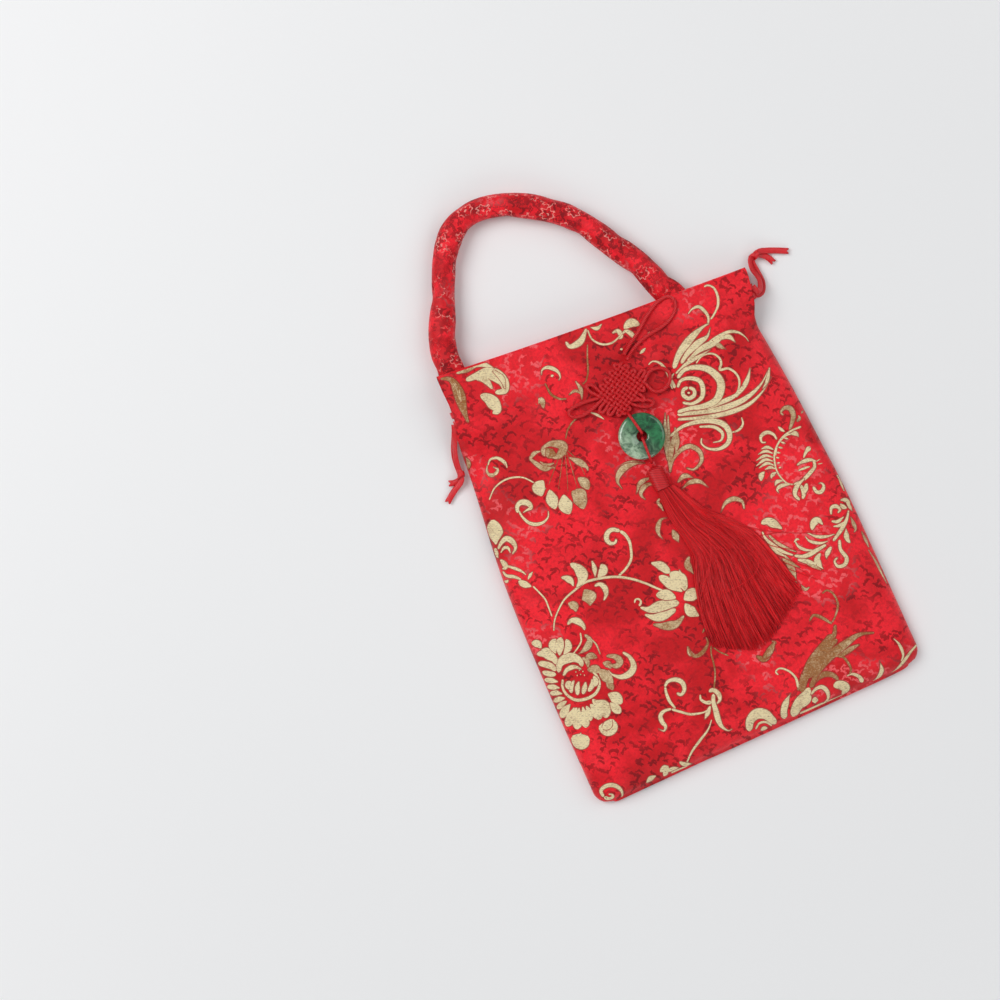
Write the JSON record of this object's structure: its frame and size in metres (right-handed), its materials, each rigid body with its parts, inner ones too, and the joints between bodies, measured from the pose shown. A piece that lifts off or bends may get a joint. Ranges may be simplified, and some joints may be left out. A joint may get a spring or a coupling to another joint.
{
  "type": "drawstring pouch",
  "caption": "Flat brocade drawstring pouch with a hem casing, ribbon drawstrings tied at the sides, a stuffed loop handle and a knotted jade ring and tassel pendant on its front.",
  "frame": {"origin": "on the flat back, at the middle of the bag's cloth without its handle, taken as the mean of the four cloth corners", "axes": "+X to the right across the front, +Y from the folded base to the mouth and handle, +Z out of the front"},
  "size_m": [0.2423, 0.3546, 0.0241],
  "materials": {
    "brocade": "red and gold woven satin brocade",
    "wadding": "white polyester wadding",
    "ribbon": "red satin ribbon",
    "cord": "red braided knotting cord",
    "thread": "red silk thread",
    "jade": "polished green jade"
  },
  "bodies": {
    "pouch": {"pouch_cloth": "brocade", "handle_cover": "brocade", "handle_filling": "wadding", "drawstring_left_run": "ribbon", "drawstring_right_run": "ribbon", "hanging_loop": "cord", "pendant_knot": "cord"},
    "left_ends": {"drawstring_left_strand_a": "ribbon", "drawstring_left_strand_b": "ribbon", "drawstring_left_knot": "ribbon"},
    "right_ends": {"drawstring_right_strand_a": "ribbon", "drawstring_right_strand_b": "ribbon", "drawstring_right_knot": "ribbon"},
    "ring": {"ring_cord": "cord", "jade_ring": "jade", "tassel_cord": "cord"},
    "tassel": {"tassel_neck": "cord", "tassel_band": "thread", "tassel_skirt": "thread"}
  },
  "joints": [
    {"name": "pull_left", "type": "slide", "parent": "pouch", "child": "left_ends", "axis": [-1, 0, 0], "range_m": [0, 0.12], "deforming": ["drawstring_left_run"]},
    {"name": "pull_right", "type": "slide", "parent": "pouch", "child": "right_ends", "axis": [1, 0, 0], "range_m": [0, 0.12], "deforming": ["drawstring_right_run"]},
    {"name": "ring_swing", "type": "hinge", "parent": "pouch", "child": "ring", "pos_m": [-0.0022, 0.0711, 0.01982], "axis": [-1, 0, 0], "range_deg": [0, 90]},
    {"name": "tassel_swing", "type": "hinge", "parent": "ring", "child": "tassel", "pos_m": [-0.001, 0.0397, 0.01982], "axis": [-1, 0, 0], "range_deg": [0, 70]}
  ]
}
